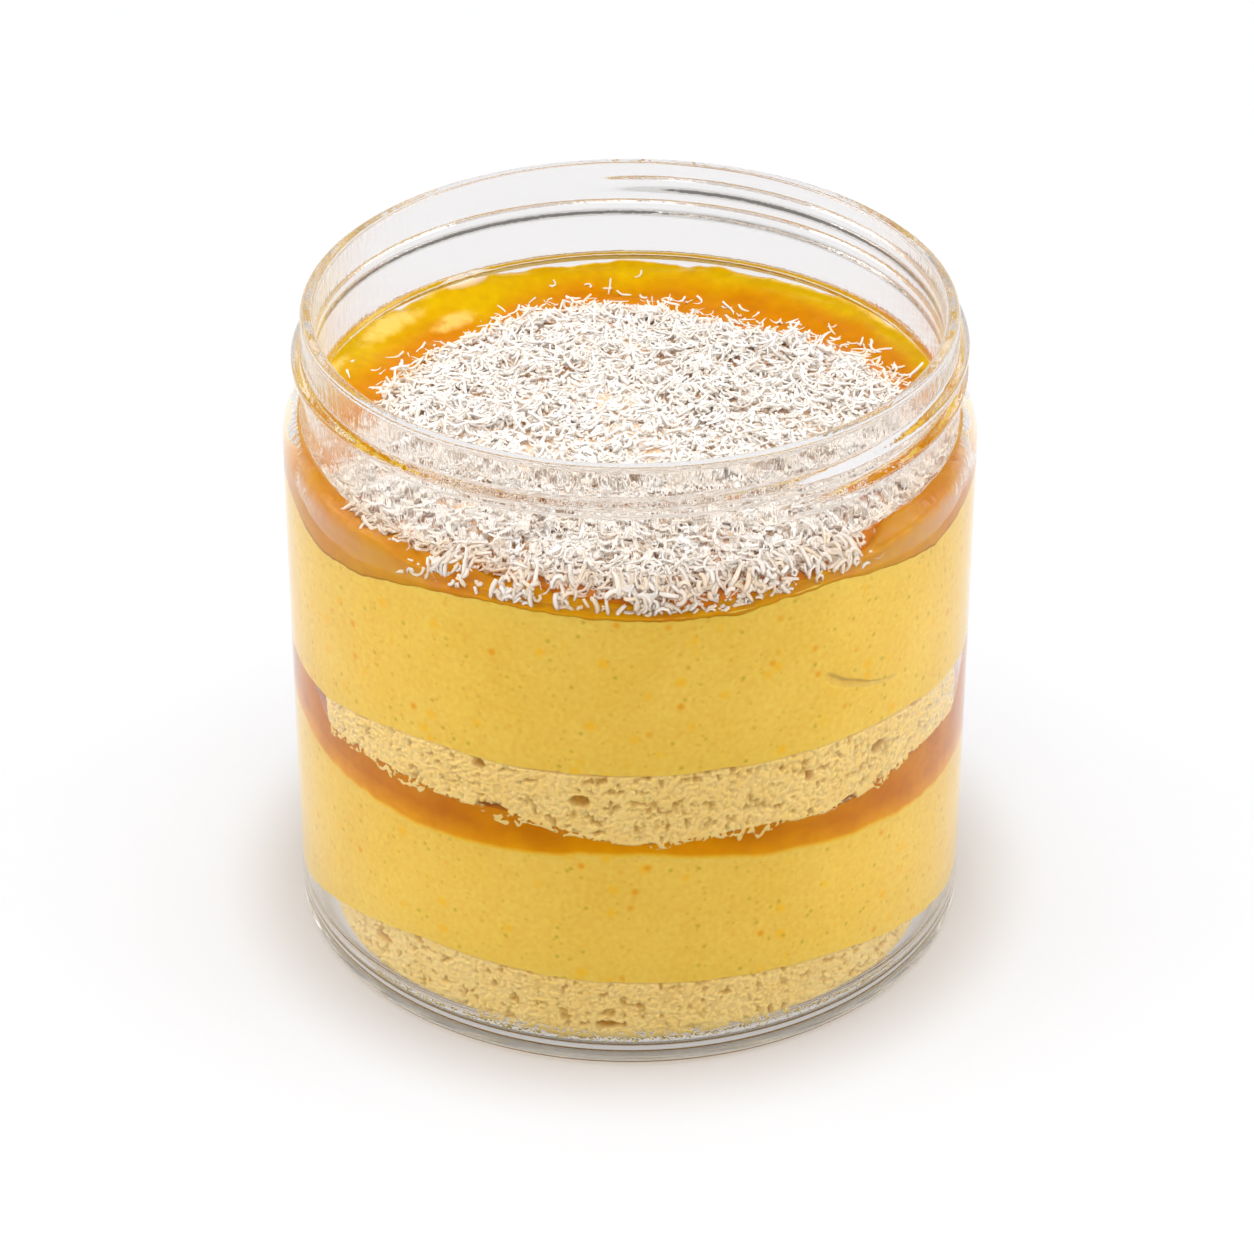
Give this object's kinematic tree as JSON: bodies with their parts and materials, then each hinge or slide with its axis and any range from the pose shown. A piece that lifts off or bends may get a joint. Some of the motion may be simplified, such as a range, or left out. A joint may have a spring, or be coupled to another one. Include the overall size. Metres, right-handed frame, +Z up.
{
  "type": "mango coconut tiramisu cup",
  "caption": "Layered mango dessert in a clear screw-neck plastic jar: sponge, cream, mango band, sponge, cream, mango glaze and a heap of shredded coconut.",
  "frame": {"origin": "centre of the jar's base, on the surface it stands on", "axes": "+Z up along the jar's axis, -Y towards the side of the dessert that the picture shows"},
  "size_m": [0.086, 0.086, 0.0838],
  "materials": {
    "jar": "clear polished plastic",
    "sponge": "open dry crumb",
    "cream": "smooth satin mango cream",
    "mango": "wet fruit puree",
    "glaze": "wet fruit glaze",
    "coconut": "dry shredded coconut"
  },
  "bodies": {
    "root": {"jar": "jar", "sponge_base": "sponge", "cream_lower": "cream", "mango_band": "mango", "sponge_upper": "sponge", "cream_upper": "cream", "mango_glaze": "glaze", "coconut_heap": "coconut"}
  },
  "joints": []
}
